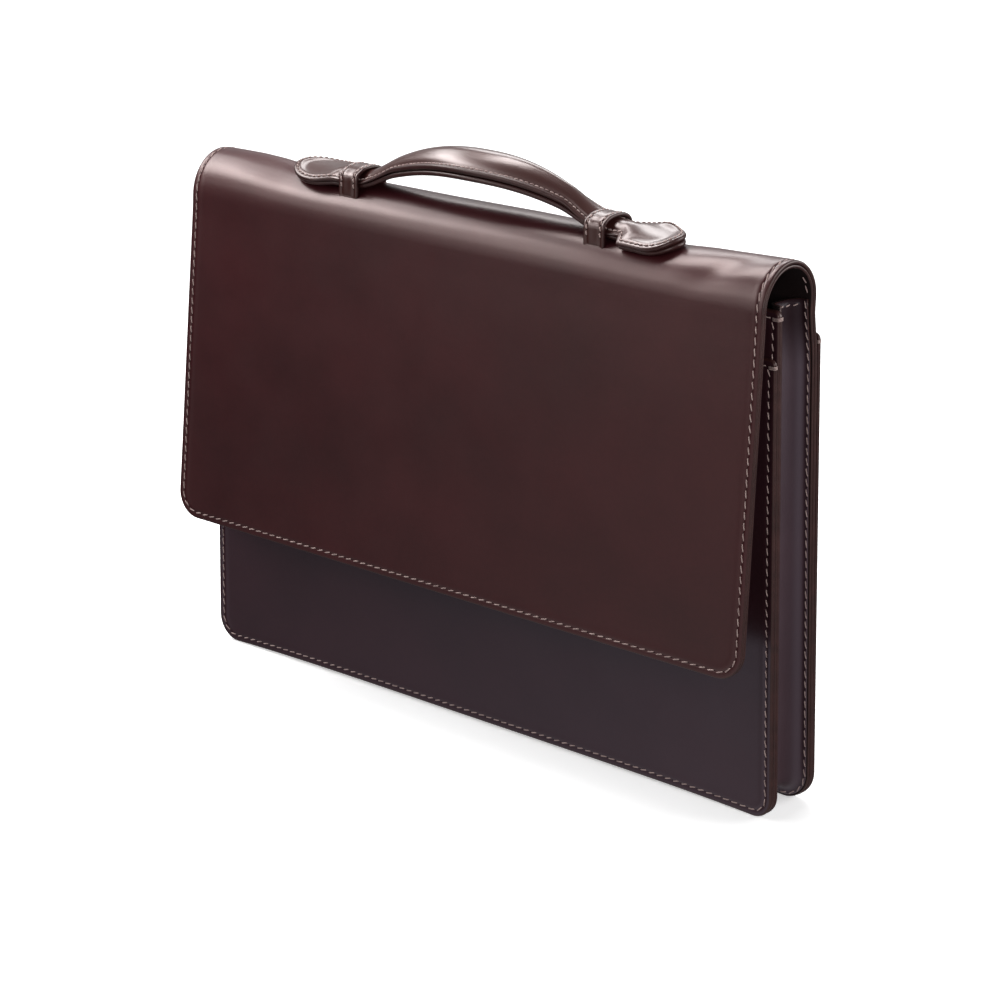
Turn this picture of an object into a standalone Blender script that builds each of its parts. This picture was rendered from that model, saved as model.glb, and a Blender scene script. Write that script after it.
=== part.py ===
"""A slim leather briefcase: flap over a document case, with a padded top handle.

Every leather, lining, board and magnet is its own solid. Dimensions are in
millimetres and the meshes are made in metres. X runs along the case, +Y points
to its back and +Z up. The origin is on the ground, under the middle of the case.
"""

import math

import bmesh
import bpy
from mathutils import Vector

MM = 0.001

# Driving dimensions
CASE_WIDTH = 360.0
CASE_DEPTH = 59.0
SIDE_LEAN = 6.0 / 250.0
CORNER_RADIUS = 16.0
FRONT_HEIGHT = 237.0
FRONT_POCKET_HEIGHT = 216.0
REAR_POCKET_HEIGHT = 222.0

LEATHER = 1.4
BOARD = 0.8
LINING = 0.6
GAP = 0.3

FRONT_FACE_Y = -3.0
REAR_FACE_Y = CASE_DEPTH / 2.0
BACK_LEATHER_Y = 24.8
BOARD_MARGIN = 12.0
LINING_MARGIN = 1.0

GUSSET_INSET = 8.0
GUSSET_WALL = 1.2
GUSSET_FLANGE = 7.4

# The flap is one sheet with the back panel. It is cut at the two lines where it folds.
ARCH_TOP = 258.8
ARCH_FRONT_Y = -15.4
BACK_FOLD_Y = 27.6
BACK_FOLD_Z = 232.0
FLAP_OVERHANG = 0.7
FLAP_BOTTOM_Z = 75.0
FLAP_CORNER_RADIUS = 13.0
FRONT_FOLD_GAP = 0.9

MAGNET_RADIUS = 7.5
MAGNET_THICKNESS = 1.0
MAGNET_X = 95.0
MAGNET_Z = 88.5

HANDLE_X = 3.8
HANDLE_Y = 1.0
HANDLE_HALF_LENGTH = 117.0
GRIP_RISE = 13.0
GRIP_SPAN = 78.0
GRIP_HALF_WIDTH = 13.0
NECK_HALF_WIDTH = 8.2
NECK_START = 63.0
SHOULDER_START = 81.6
SHOULDER_LENGTH = 5.0
PADDLE_HALF_WIDTH = 13.8
PADDLE_ROUND_START = 97.0
HANDLE_EDGE = 5.2
CROWN_HEIGHT = 7.3
CROWN_SPAN = 70.0
HANDLE_LAYER = 2.6
COVER_OVER_CORE = 2.0
CORE_SPAN = 58.0
HANDLE_LIFT = 0.4

KEEPER_X = (-72.3, 75.9)
KEEPER_WIDTH = 10.6
KEEPER_STRAP = 1.6
KEEPER_HALF_GAP = 9.2
KEEPER_INNER_HEIGHT = 7.4
KEEPER_CORNER = 2.0

# Values that follow from them
ARCH_RADIUS = (BACK_LEATHER_Y - ARCH_FRONT_Y) / 2.0
ARCH_Y = (BACK_LEATHER_Y + ARCH_FRONT_Y) / 2.0
ARCH_Z = ARCH_TOP - ARCH_RADIUS
FLAP_LEAN = math.atan((ARCH_FRONT_Y + CASE_DEPTH / 2.0) / (ARCH_Z - FLAP_BOTTOM_Z))
FLAP_LENGTH = (ARCH_Z - FLAP_BOTTOM_Z) / math.cos(FLAP_LEAN)


def half_width(z):
    """Half the width of the case at height z: its sides lean in a little."""
    return CASE_WIDTH / 2.0 - SIDE_LEAN * z


def smooth_step(value, low, high):
    """0 below low, 1 above high, and an even S-curve between."""
    t = min(1.0, max(0.0, (value - low) / (high - low)))
    return t * t * (3.0 - 2.0 * t)


def arc(centre, radius, start, end, steps):
    """Points on an arc, its angles in degrees."""
    points = []
    for i in range(steps + 1):
        angle = math.radians(start + (end - start) * i / steps)
        points.append((centre[0] + radius * math.cos(angle), centre[1] + radius * math.sin(angle)))
    return points


# Scene set-up

def clear_scene():
    for item in list(bpy.data.objects):
        bpy.data.objects.remove(item, do_unlink=True)


def material(name, colour, roughness, metallic=0.0):
    made = bpy.data.materials.new(name)
    made.use_nodes = True
    shader = made.node_tree.nodes["Principled BSDF"]
    shader.inputs["Base Color"].default_value = (*colour, 1.0)
    shader.inputs["Roughness"].default_value = roughness
    shader.inputs["Metallic"].default_value = metallic
    made.diffuse_color = (*colour, 1.0)
    return made


def axis_frame(name, location, parent=None, lean=0.0):
    """An empty on a joint's axis. Its pieces are parented to it."""
    frame = bpy.data.objects.new(name, None)
    bpy.context.scene.collection.objects.link(frame)
    frame.parent = parent
    frame.location = Vector(location) * MM
    frame.rotation_euler = (lean, 0.0, 0.0)
    return frame


def solid(name, rings, finish, frame=None, origin=(0.0, 0.0, 0.0), smooth=False):
    """A closed solid through equal rings of points, with its first and last ring capped."""
    bm = bmesh.new()
    shift = Vector(origin)
    loops = [[bm.verts.new((Vector(point) - shift) * MM) for point in ring] for ring in rings]
    count = len(loops[0])
    for first, second in zip(loops, loops[1:]):
        for i in range(count):
            j = (i + 1) % count
            bm.faces.new((first[i], first[j], second[j], second[i]))
    bm.faces.new(loops[0][::-1])
    bm.faces.new(loops[-1])
    bmesh.ops.recalc_face_normals(bm, faces=bm.faces)
    mesh = bpy.data.meshes.new(name)
    bm.to_mesh(mesh)
    bm.free()
    if smooth:
        mesh.shade_smooth()
        mesh.set_sharp_from_angle(angle=math.radians(40.0))
    mesh.materials.append(finish)
    made = bpy.data.objects.new(name, mesh)
    bpy.context.scene.collection.objects.link(made)
    made.parent = frame
    return made


def slab(name, outline, y_low, thickness, finish, **placing):
    """An outline in X and Z, extruded along Y."""
    rings = [[(x, y, z) for x, z in outline] for y in (y_low, y_low + thickness)]
    return solid(name, rings, finish, **placing)


def disc(name, centre, radius, thickness, finish, frame=None):
    """A flat round piece with its axis along Y."""
    ring = arc((centre[0], centre[2]), radius, 0.0, 345.0, 23)
    made = slab(name, ring, centre[1], thickness, finish, frame=frame)
    made.data.shade_smooth()
    made.data.set_sharp_from_angle(angle=math.radians(40.0))
    return made


def pierce(board, centre, radius):
    """Cut a round hole through a board, along Y."""
    cutter = disc(board.name + "_cutter", centre, radius, 6.0, board.data.materials[0], board.parent)
    cutter.hide_render = True
    cutter.display_type = "WIRE"
    cut = board.modifiers.new("magnet hole", "BOOLEAN")
    cut.operation = "DIFFERENCE"
    cut.solver = "EXACT"
    cut.object = cutter


# Case: panels, pockets and gusset

def panel_outline(top, margin=0.0):
    """A panel's edge: two rounded lower corners and sides that lean in."""
    radius = max(CORNER_RADIUS - margin, 3.0)
    low = margin + radius
    side = half_width(low) - margin
    right = arc((side - radius, low), radius, 0.0, -90.0, 8)
    left = [(-x, z) for x, z in reversed(right)]
    high = top - margin
    corner = half_width(high) - margin
    return [(corner, high)] + right + left + [(-corner, high)]


def lining_outline(top):
    """A lining keeps clear of the ground and ends level with the leather at the top."""
    points = panel_outline(top, LINING_MARGIN)
    return [(x, z + LINING_MARGIN if z > top - 2.0 * LINING_MARGIN else z) for x, z in points]


def build_front(leather, board, lining):
    y = FRONT_FACE_Y
    slab("front_pocket_leather", panel_outline(FRONT_POCKET_HEIGHT), y, LEATHER, leather)
    y += LEATHER + GAP
    slab("front_pocket_lining", lining_outline(FRONT_POCKET_HEIGHT), y, LINING, lining)
    y += LINING + GAP
    slab("front_panel_leather", panel_outline(FRONT_HEIGHT), y, LEATHER, leather)
    y += LEATHER + GAP
    stiffener = slab("front_panel_board", panel_outline(FRONT_HEIGHT, BOARD_MARGIN), y, BOARD, board)
    front_board_y = y
    y += BOARD + GAP
    slab("front_panel_lining", lining_outline(FRONT_HEIGHT), y, LINING, lining)
    add_closure_magnets("front_magnet", stiffener, front_board_y, MAGNET_Z)
    return y + LINING + GAP


def build_back(leather, board, lining):
    """Back panel, then the pocket behind it. Returns the front face of the back lining."""
    leather_y = BACK_LEATHER_Y - LEATHER
    fold = BACK_FOLD_Z - GAP / 2.0
    slab("back_panel_leather", panel_outline(fold), leather_y, LEATHER, leather)
    board_y = leather_y - GAP - BOARD
    slab("back_panel_board", panel_outline(fold, BOARD_MARGIN), board_y, BOARD, board)
    lining_y = board_y - GAP - LINING
    slab("back_panel_lining", lining_outline(fold), lining_y, LINING, lining)
    pocket_y = REAR_FACE_Y - LEATHER
    slab("rear_pocket_leather", panel_outline(REAR_POCKET_HEIGHT), pocket_y, LEATHER, leather)
    pocket_lining_y = pocket_y - GAP - LINING
    slab("rear_pocket_lining", lining_outline(REAR_POCKET_HEIGHT), pocket_lining_y, LINING, lining)
    return lining_y


def gusset_path():
    """Points and outward directions of the gusset's web: down one side, along, and up."""
    radius = CORNER_RADIUS - GUSSET_INSET
    side = half_width(CORNER_RADIUS) - GUSSET_INSET
    top = (half_width(FRONT_HEIGHT) - GUSSET_INSET, FRONT_HEIGHT)
    centre = (side - radius, CORNER_RADIUS)
    right = [(top, (1.0, 0.0))]
    for i in range(9):
        angle = math.radians(-90.0 * i / 8)
        outward = (math.cos(angle), math.sin(angle))
        right.append(((centre[0] + radius * outward[0], centre[1] + radius * outward[1]), outward))
    left = [((-point[0], point[1]), (-outward[0], outward[1])) for point, outward in reversed(right)]
    return right + left


def sweep_gusset(name, section, finish):
    """Carry a section, in distance outward and Y, along the gusset's path."""
    rings = []
    for point, outward in gusset_path():
        rings.append([(point[0] + out * outward[0], y, point[1] + out * outward[1]) for out, y in section])
    solid(name, rings, finish)


def build_gusset(y_front, y_back, leather, lining):
    """A channel with its two flanges turned outward, sewn between the panels."""
    half = GUSSET_WALL / 2.0
    section = [
        (GUSSET_FLANGE, y_front),
        (GUSSET_FLANGE, y_front + GUSSET_WALL),
        (half, y_front + GUSSET_WALL),
        (half, y_back - GUSSET_WALL),
        (GUSSET_FLANGE, y_back - GUSSET_WALL),
        (GUSSET_FLANGE, y_back),
        (-half, y_back),
        (-half, y_front),
    ]
    sweep_gusset("gusset_leather", section, leather)
    outer = -half - GAP
    inner = outer - LINING
    strip = [(outer, y_front + GAP), (outer, y_back - GAP), (inner, y_back - GAP), (inner, y_front + GAP)]
    sweep_gusset("gusset_lining", strip, lining)


def add_closure_magnets(prefix, stiffener, board_y, z, frame=None):
    """Two disc magnets, each in a hole in the board that carries it."""
    steel = bpy.data.materials["magnet_plate"]
    y = board_y + (BOARD - MAGNET_THICKNESS) / 2.0
    for side, x in (("left", -MAGNET_X), ("right", MAGNET_X)):
        cut_centre = (x, board_y - 3.0 + BOARD / 2.0, z)
        pierce(stiffener, cut_centre, MAGNET_RADIUS + GAP)
        disc(prefix + "_" + side, (x, y, z), MAGNET_RADIUS, MAGNET_THICKNESS, steel, frame)


# Flap: the arch over the mouth, and the front that hangs from it

def arch_profile(depth, thickness):
    """The arch's section in Y and Z, from its back edge over the top to its front edge."""
    profiles = []
    for inset in (depth, depth + thickness):
        radius = ARCH_RADIUS - inset
        points = [(BACK_LEATHER_Y - inset, BACK_FOLD_Z + GAP / 2.0)]
        points += arc((ARCH_Y, ARCH_Z), radius, 0.0, 180.0, 20)[:-1]
        points.append((ARCH_Y - radius, ARCH_Z + FRONT_FOLD_GAP / 2.0))
        profiles.append(points)
    return profiles[0] + profiles[1][::-1]


def along_x(profile, left, right):
    """Two rings of a Y and Z profile; left and right give X at a height."""
    return [[(place(z), y, z) for y, z in profile] for place in (left, right)]


def build_flap_bridge(frame, leather, lining, backing):
    origin = (0.0, BACK_FOLD_Y, BACK_FOLD_Z)
    rings = along_x(
        arch_profile(0.0, LEATHER),
        lambda z: -half_width(z) - FLAP_OVERHANG,
        lambda z: half_width(z) + FLAP_OVERHANG,
    )
    solid("flap_bridge_leather", rings, leather, frame, origin, smooth=True)
    depth = LEATHER + 2.0 * GAP + BOARD
    rings = along_x(
        arch_profile(depth, LINING),
        lambda z: -half_width(z) + LINING_MARGIN,
        lambda z: half_width(z) - LINING_MARGIN,
    )
    solid("flap_bridge_lining", rings, lining, frame, origin, smooth=True)
    outer = ARCH_RADIUS - LEATHER - GAP
    strip = arc((ARCH_Y, ARCH_Z), outer, 52.0, 128.0, 10)
    strip += arc((ARCH_Y, ARCH_Z), outer - BOARD, 128.0, 52.0, 10)
    reach = HANDLE_HALF_LENGTH - 14.0
    rings = along_x(strip, lambda z: HANDLE_X - reach, lambda z: HANDLE_X + reach)
    solid("handle_reinforcement", rings, backing, frame, origin, smooth=True)


def flap_outline(margin, top_gap):
    """The hanging front of the flap, in its own frame: the fold is at Z 0."""
    radius = max(FLAP_CORNER_RADIUS - margin, 3.0)
    low = -FLAP_LENGTH + margin + radius

    def side(z):
        return half_width(ARCH_Z + z * math.cos(FLAP_LEAN)) + FLAP_OVERHANG - margin

    right = arc((side(low) - radius, low), radius, 0.0, -90.0, 8)
    left = [(-x, z) for x, z in reversed(right)]
    return [(side(-top_gap), -top_gap)] + right + left + [(-side(-top_gap), -top_gap)]


def build_flap_front(frame, leather, board, lining):
    edge = FRONT_FOLD_GAP / 2.0
    slab("flap_front_leather", flap_outline(0.0, edge), 0.0, LEATHER, leather, frame=frame)
    y = LEATHER + GAP
    stiffener = slab("flap_front_board", flap_outline(BOARD_MARGIN, 8.0), y, BOARD, board, frame=frame)
    add_closure_magnets("flap_magnet", stiffener, y, MAGNET_Z - ARCH_Z, frame)
    y += BOARD + GAP
    slab("flap_front_lining", flap_outline(LINING_MARGIN, edge), y, LINING, lining, frame=frame)


# Handle: underside, core and cover, held by two keepers sewn to the flap

def grip_rise(d):
    """How far the handle stands off the flap, at distance d from its middle."""
    return GRIP_RISE * max(0.0, 1.0 - (d / GRIP_SPAN) ** 2) ** 2


def handle_half_width(d):
    """Wide grip, narrow necks under the keepers, and round paddles beyond them."""
    d = abs(d)
    if d < NECK_START:
        swell = (math.cos(math.pi * d / NECK_START) + 1.0) / 2.0
        return NECK_HALF_WIDTH + (GRIP_HALF_WIDTH - NECK_HALF_WIDTH) * swell
    flare = smooth_step(d, SHOULDER_START, SHOULDER_START + SHOULDER_LENGTH)
    width = NECK_HALF_WIDTH + (PADDLE_HALF_WIDTH - NECK_HALF_WIDTH) * flare
    reach = max(0.0, d - PADDLE_ROUND_START) / (HANDLE_HALF_LENGTH - PADDLE_ROUND_START)
    return width * math.sqrt(max(0.0, 1.0 - reach * reach))


def on_arch(v, h):
    """Y and Z of a point h above the flap's arch, v across it from the handle's middle."""
    angle = (v + HANDLE_Y - ARCH_Y) / ARCH_RADIUS
    radius = ARCH_RADIUS + h
    return ARCH_Y + radius * math.sin(angle), ARCH_Z + radius * math.cos(angle)


def handle_point(d, v, h):
    """The handle lies along the arch at its ends, and is flat across in the grip."""
    y_arch, z_arch = on_arch(v, HANDLE_LIFT + h)
    z_middle = on_arch(0.0, HANDLE_LIFT)[1]
    follow = smooth_step(abs(d), 46.0, NECK_START)
    y = (HANDLE_Y + v) * (1.0 - follow) + y_arch * follow
    z = (z_middle + h) * (1.0 - follow) + z_arch * follow
    return HANDLE_X + d, y, z + grip_rise(d)


def edge_height(d):
    """Thickness of the handle at its stitched edge."""
    return HANDLE_EDGE + 0.8 * max(0.0, 1.0 - (d / CROWN_SPAN) ** 2)


def crown_height(d):
    """Thickness of the handle along its middle."""
    return HANDLE_EDGE + CROWN_HEIGHT * max(0.0, 1.0 - (d / CROWN_SPAN) ** 2)


def cover_top(d, u):
    """Height of the cover across the handle, u from -1 to 1."""
    edge = edge_height(d)
    return edge + (crown_height(d) - edge) * (1.0 - abs(u) ** 2.5)


def core_top(d, u):
    """Height of the hollow in the cover, which the core fills."""
    floor = HANDLE_LAYER + GAP
    fade = 1.0 - smooth_step(abs(d), CORE_SPAN - 8.0, CORE_SPAN)
    room = max(0.0, crown_height(d) - COVER_OVER_CORE - floor) * fade
    return floor + room * max(0.0, 1.0 - (abs(u) / 0.78) ** 2.5)


def handle_stations():
    """Distances along the handle, closer together in the paddles."""
    grip = [NECK_START * i / 9 for i in range(10)]
    neck = [70.0, 77.0, SHOULDER_START]
    shoulder = [SHOULDER_START + SHOULDER_LENGTH * i / 3 for i in (1, 2, 3)]
    reach = HANDLE_HALF_LENGTH - PADDLE_ROUND_START
    tip = [PADDLE_ROUND_START + reach * math.sin(math.radians(a)) for a in (0, 20, 38, 54, 68, 82)]
    positive = grip + neck + shoulder + [92.0] + tip
    return [-d for d in reversed(positive[1:])] + positive


def handle_piece(name, stations, bottom, top, spread, finish, frame):
    """Rings across the handle between two heights, joined along it."""
    steps = [-1.0, -0.78, -0.5, -0.2, 0.2, 0.5, 0.78, 1.0]
    rings = []
    for d in stations:
        half = handle_half_width(d) * spread
        upper = [handle_point(d, u * half, top(d, u)) for u in steps]
        lower = [handle_point(d, u * half, bottom(d, u)) for u in reversed(steps)]
        rings.append(upper + lower)
    origin = (HANDLE_X, HANDLE_Y, ARCH_TOP)
    solid(name, rings, finish, frame, origin, smooth=True)


def build_handle(frame, leather, cord):
    stations = handle_stations()
    handle_piece("handle_underside", stations, lambda d, u: 0.0, lambda d, u: HANDLE_LAYER, 1.0, leather, frame)
    handle_piece("handle_cover", stations, core_top, cover_top, 1.0, leather, frame)
    inner = [d for d in stations if abs(d) < CORE_SPAN - 8.0]

    def core_roof(d, u):
        return core_top(d, 0.78 * u) - GAP

    handle_piece("handle_core", inner, lambda d, u: HANDLE_LAYER + GAP, core_roof, 0.66, cord, frame)


def build_keepers(frame, leather):
    """Two straps over the handle's necks. Their feet are sewn through the flap."""
    inner = KEEPER_HALF_GAP
    outer = inner + KEEPER_STRAP
    roof = KEEPER_INNER_HEIGHT + KEEPER_STRAP
    corner = KEEPER_CORNER + KEEPER_STRAP
    top = roof - corner
    side = outer - corner
    crown = [side * t for t in (-0.6, -0.2, 0.2, 0.6)]
    loop = [(-outer, GAP)] + arc((-side, top), corner, 180.0, 90.0, 4)
    loop += [(v, roof) for v in crown] + arc((side, top), corner, 90.0, 0.0, 4)
    loop += [(outer, GAP), (inner, GAP)] + arc((side, top), KEEPER_CORNER, 0.0, 90.0, 4)
    loop += [(-v, KEEPER_INNER_HEIGHT) for v in crown]
    loop += arc((-side, top), KEEPER_CORNER, 90.0, 180.0, 4) + [(-inner, GAP)]
    section = [on_arch(v, h) for v, h in loop]
    for name, middle in zip(("keeper_left", "keeper_right"), KEEPER_X):
        ends = (middle - KEEPER_WIDTH / 2.0, middle + KEEPER_WIDTH / 2.0)
        rings = [[(x, y, z) for y, z in section] for x in ends]
        solid(name, rings, leather, frame, (0.0, BACK_FOLD_Y, BACK_FOLD_Z), smooth=True)


def main():
    clear_scene()
    leather = material("body_leather", (0.040, 0.019, 0.020), 0.42)
    flap_leather = material("flap_leather", (0.048, 0.021, 0.022), 0.38)
    handle_leather = material("handle_leather", (0.055, 0.026, 0.025), 0.36)
    lining = material("lining", (0.016, 0.013, 0.014), 0.80)
    board = material("board", (0.30, 0.24, 0.17), 0.85)
    cord = material("core_cord", (0.42, 0.34, 0.24), 0.90)
    material("magnet_plate", (0.62, 0.62, 0.63), 0.30, 1.0)

    y_front = build_front(leather, board, lining)
    y_back = build_back(leather, board, lining) - GAP
    build_gusset(y_front, y_back, leather, lining)

    bridge = axis_frame("flap_back_fold", (0.0, BACK_FOLD_Y, BACK_FOLD_Z))
    build_flap_bridge(bridge, flap_leather, lining, board)
    build_keepers(bridge, handle_leather)
    front_place = (0.0, ARCH_FRONT_Y - BACK_FOLD_Y, ARCH_Z - BACK_FOLD_Z)
    front = axis_frame("flap_front_fold", front_place, bridge, -FLAP_LEAN)
    build_flap_front(front, flap_leather, board, lining)
    handle_place = (HANDLE_X, HANDLE_Y - BACK_FOLD_Y, ARCH_TOP - BACK_FOLD_Z)
    handle = axis_frame("handle_slide", handle_place, bridge)
    build_handle(handle, handle_leather, cord)


main()
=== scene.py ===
import math

import bmesh
import bpy
import numpy as np
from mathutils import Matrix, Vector
from mathutils.geometry import delaunay_2d_cdt


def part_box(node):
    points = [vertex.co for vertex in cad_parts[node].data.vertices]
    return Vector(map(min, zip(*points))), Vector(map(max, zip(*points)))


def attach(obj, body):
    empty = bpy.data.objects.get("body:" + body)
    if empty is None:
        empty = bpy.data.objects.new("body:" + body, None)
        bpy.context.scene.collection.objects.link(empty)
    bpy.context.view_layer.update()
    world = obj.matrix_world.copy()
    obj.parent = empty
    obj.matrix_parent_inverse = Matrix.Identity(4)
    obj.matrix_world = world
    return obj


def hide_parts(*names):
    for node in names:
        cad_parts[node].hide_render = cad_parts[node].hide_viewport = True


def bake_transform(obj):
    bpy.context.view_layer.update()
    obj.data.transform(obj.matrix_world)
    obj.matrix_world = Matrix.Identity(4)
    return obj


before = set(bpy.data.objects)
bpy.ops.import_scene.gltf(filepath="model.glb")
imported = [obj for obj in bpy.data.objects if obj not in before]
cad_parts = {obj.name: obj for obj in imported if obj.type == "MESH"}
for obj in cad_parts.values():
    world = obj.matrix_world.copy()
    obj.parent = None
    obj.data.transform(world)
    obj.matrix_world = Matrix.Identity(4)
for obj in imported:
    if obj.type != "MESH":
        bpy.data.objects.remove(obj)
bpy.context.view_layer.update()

# ---- dimensions
# Lengths are in millimetres and angles in radians; make_object() turns them into metres.
MM = 0.001


def box_mm(node):
    """Lowest and highest corner of a CAD node."""
    low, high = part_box(node)
    return np.array(low) / MM, np.array(high) / MM


POCKET_LOW, POCKET_HIGH = box_mm("front_pocket_leather")
FRONT_LOW, FRONT_HIGH = box_mm("front_panel_leather")
REAR_HIGH = box_mm("rear_pocket_leather")[1]
BRIDGE_LOW, BRIDGE_HIGH = box_mm("flap_bridge_leather")
FLAP_LOW = box_mm("flap_front_leather")[0]
GUSSET_HIGH = box_mm("gusset_leather")[1]

# Leather and layers, from the outer face inwards.
LEATHER = 1.4
GUSSET_LEATHER = 1.2
GUSSET_LINING_END = 2.0
BOARD = 0.8
LINING = 0.6
GAP = 0.3
BOARD_DEPTH = LEATHER + GAP
PANEL_LINING_DEPTH = BOARD_DEPTH + BOARD + GAP
POCKET_LINING_DEPTH = LEATHER + GAP
POCKET_STACK = POCKET_LINING_DEPTH + LINING
PANEL_STACK = PANEL_LINING_DEPTH + LINING
SHEET_EDGE = 1.75
SHEET_BEAD = 0.55
SHEET_LINING_DEPTH = 2.0
SHEET_LINING_BEAD = 0.45
REAR_EDGE = 2.0
EDGE_BEAD = 0.9
LINING_BEAD = 0.2
# How much smaller than their panels the linings are cut.
FRONT_LINING_CUT = 2.2
REAR_LINING_CUT = 6.0
BOARD_MARGIN = 12.0
# The boards in the back and the flap are thinner, between leather and lining.
THIN_BOARD = 0.3
THIN_BOARD_DEPTH = 1.55
THIN_BOARD_BEAD = 0.1
BOARD_CORNER = 4

# The case tapers slightly towards its top; its front is a little narrower than its back.
CASE_HALF = 180.0
SIDE_LEAN = 6.0 / 250.0
FRONT_TUCK = 1.6
CORNER_RADIUS = 14.0
FRONT_CORNER_RADII = (12.5, 10.0)
TOP_CORNER_RADIUS = 3.0
# The folded gusset: where its web stands, its fold, its sewn flange and its sweep.
GUSSET_WEB = 8.0
GUSSET_FOLD = 2.4
GUSSET_SEWN = 3.0
GUSSET_SWEEP = 9.5
GROUND_LIFT = 1.5
LIFT_HALF = 168.0
LIFT_HEIGHT = 70.0
STITCH_INSET = 3.3

POCKET_TOP = POCKET_HIGH[2]
FRONT_TOP = FRONT_HIGH[2]
REAR_TOP = REAR_HIGH[2]

# The arch over the top and the leaning front of the flap.
ARCH_RADIUS = (BRIDGE_HIGH[1] - BRIDGE_LOW[1]) / 2
ARCH_Y = (BRIDGE_HIGH[1] + BRIDGE_LOW[1]) / 2
ARCH_Z = BRIDGE_HIGH[2] - ARCH_RADIUS
FLAP_RUN = BRIDGE_LOW[1] - FLAP_LOW[1]
FLAP_DROP = ARCH_Z - FLAP_LOW[2]
FLAP_LEAN = math.atan2(FLAP_RUN, FLAP_DROP)
FLAP_LENGTH = math.hypot(FLAP_RUN, FLAP_DROP)
FLAP_OVERHANG = 0.7
FLAP_CORNER_RADIUS = 13.0
BACK_AXIS_Z = 232.0
SEAM_ANGLE = math.radians(48)

# Places along the big sheet: up the back, over the arch, down the front.
ARCH_START = ARCH_Z
ARCH_END = ARCH_Z + math.pi * ARCH_RADIUS
SHEET_END = ARCH_END + FLAP_LENGTH
SEAM_PLACE = ARCH_START + SEAM_ANGLE * ARCH_RADIUS

# Handle and keepers.
HANDLE_X = 3.8
HANDLE_Y = 1.0
HANDLE_LIFT = 0.1
HANDLE_LAYER = 2.6
HANDLE_MESH = (1.45, 1.1)
COVER_START = HANDLE_LAYER + 0.15
GRIP_RISE = 13.0
GRIP_SPAN = (76.5, 80.0)
GRIP_HALF_WIDTH = 13.0
NECK_HALF_WIDTH = 7.6
NECK_START = 63.0
FOLLOW_START = 50.0
PADDLE_HALF_WIDTH = 12.4
FLARE_END = 100.0
# Left and right paddle: shoulder start, shoulder length, half width there, round start, tip.
SHOULDER_START = (80.0, 85.4)
SHOULDER_LENGTH = (6.0, 3.4)
SHOULDER_HALF_WIDTH = (9.2, 12.2)
PADDLE_ROUND_START = (101.5, 100.5)
PADDLE_TIP = (118.2, 115.2)
# How far each paddle is bent off the arch at its near edge, middle and far edge.
PADDLE_BEND = ((2.0, 0.3, 0.3), (0.3, -1.2, -1.6))
PADDLE_CURL = 3.3
PADDLE_SKEW = 5.0
PADDLE_DROOP = 0.7
PADDLE_HOLLOW = 0.9
CURL_PLACE = 102.0
CURL_REACH = 10.0
PADDLE_MOUND = 2.6
MOUND_PLACE = 83
MOUND_REACH = 9.0
HANDLE_EDGE = 5.0
NECK_EDGE = 4.0
CROWN_HEIGHT = 7.0
CROWN_SPAN = 76.0
KEEPER_X = (-73.9, 76.9)
KEEPER_WIDTH = 11.8
KEEPER_STRAP = 1.6
KEEPER_HALF_GAP = 9.0
KEEPER_SPRING = 1.6
KEEPER_INNER_HEIGHT = 6.3
KEEPER_FOOT = -7.6
KEEPER_STITCH = 2.0
KEEPER_STITCH_END = 5.5
KEEPER_BEAD = 0.45
KEEPER_CORNER = 0.6
RIM_STITCH = 2.2

# Softboxes: place and aim in metres, (width, height), and watts.
SMALL, LARGE, BACKDROP = (0.45, 0.22), (0.6, 0.5), (2.4, 2.0)
LEFT, MIDDLE, RIGHT = (-0.15, 0.0, 0.25), (0.0, 0.0, 0.25), (0.15, 0.0, 0.25)
LOW = (0, 0, 0.12)
SOFTBOXES = (
    ("top_box", (-0.37, 0.56, 0.74), RIGHT, SMALL, 1.8),
    ("high_box_left", (-0.78, 0.05, 0.89), LEFT, SMALL, 1.7),
    ("high_box_right", (-0.37, 0.05, 0.99), RIGHT, SMALL, 4.2),
    ("key_box", (-0.78, -0.14, 0.88), LEFT, SMALL, 1.5),
    ("key_box_low", (-0.78, -0.31, 0.82), LEFT, SMALL, 3.5),
    ("middle_box", (-0.58, -0.49, 0.75), MIDDLE, SMALL, 1.1),
    ("middle_box_low", (-0.58, -0.66, 0.57), MIDDLE, SMALL, 0.7),
    ("front_box", (-0.37, -0.67, 0.57), RIGHT, SMALL, 0.8),
    ("front_box_low", (-0.37, -0.75, 0.32), RIGHT, SMALL, 0.5),
    ("rear_right_box", (0.78, 0.69, 0.41), LOW, LARGE, 6),
    ("right_fill", (1.01, -0.53, 0.49), LOW, LARGE, 5),
    ("backdrop_box", (-1.0, 1.5, 1.6), (-1.0, 1.5, 0.0), BACKDROP, 45),
)
FLOOR_SIZE = 12000.0

# Camera: azimuth and elevation, then metres.
CAMERA_ANGLES = (math.radians(40.9), math.radians(18.6))
CAMERA_TARGET = (0.0052, 0.010, 0.1124)
CAMERA_DISTANCE = 1.439
CAMERA_LENS = 108.0

# Tints of the shine. The cool one, used on the body and gusset, is a painted reflection of the
# cool floor.
WARM = (1.0, 0.76, 0.72, 1.0)
COOL_FLOOR_REFLECTION = (0.85, 0.8, 1.0, 1.0)

# Thread.
PITCH = 4.8
STITCH_LENGTH = 4.1
THREAD_RADIUS = 0.29
STITCH_SLANT = math.radians(12)
STITCH_DEPTH = 0.15
HEM_PITCH = 4.2
HEM_LENGTH = 3.0
# Pitch, length and thread radius of the small stitches on the handle and its keepers.
FINE_STITCH = (2.8, 2.15, 0.36)


# ---- shape helpers
def smooth_step(value, start, end):
    t = np.clip((value - start) / (end - start), 0.0, 1.0)
    return t * t * (3 - 2 * t)


def unit(vectors):
    return vectors / np.maximum(np.linalg.norm(vectors, axis=-1, keepdims=True), 1e-12)


def bell(value, centre, width):
    return np.exp(-(((value - centre) / width) ** 2))


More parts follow.
